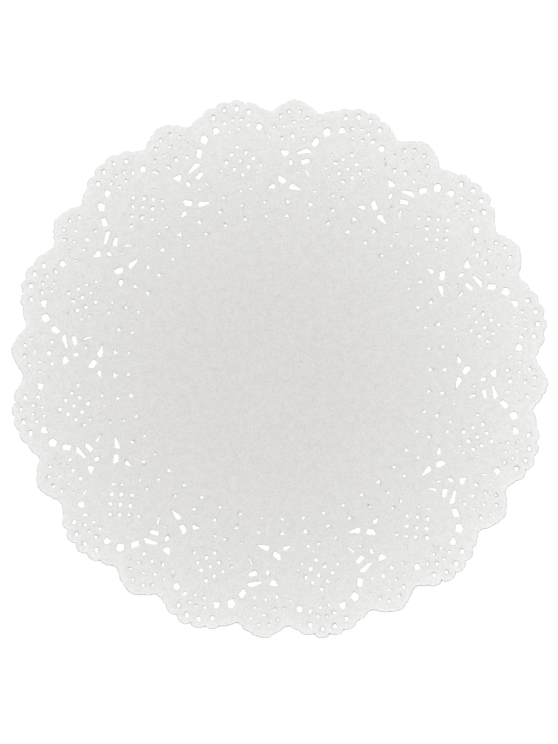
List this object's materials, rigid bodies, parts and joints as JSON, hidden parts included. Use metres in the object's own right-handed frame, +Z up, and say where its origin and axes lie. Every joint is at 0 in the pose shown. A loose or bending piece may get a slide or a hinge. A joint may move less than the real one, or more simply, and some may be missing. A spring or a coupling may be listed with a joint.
{
  "type": "round paper lace doily",
  "caption": "Round white paper lace doily lying flat: scalloped rim, a wide band of die-cut holes and a plain middle.",
  "frame": {"origin": "the middle of the sheet's underside, on the surface that it lies on", "axes": "+Z up out of the sheet, +Y the doily's top as the picture shows it, +X to its right"},
  "size_m": [0.266, 0.268, 0.001],
  "materials": {
    "paper": "matt uncoated white lace paper with a faint fibre mottle, warm in the middle and cooler at the rim"
  },
  "bodies": {
    "root": {"doily": "paper"}
  },
  "joints": []
}
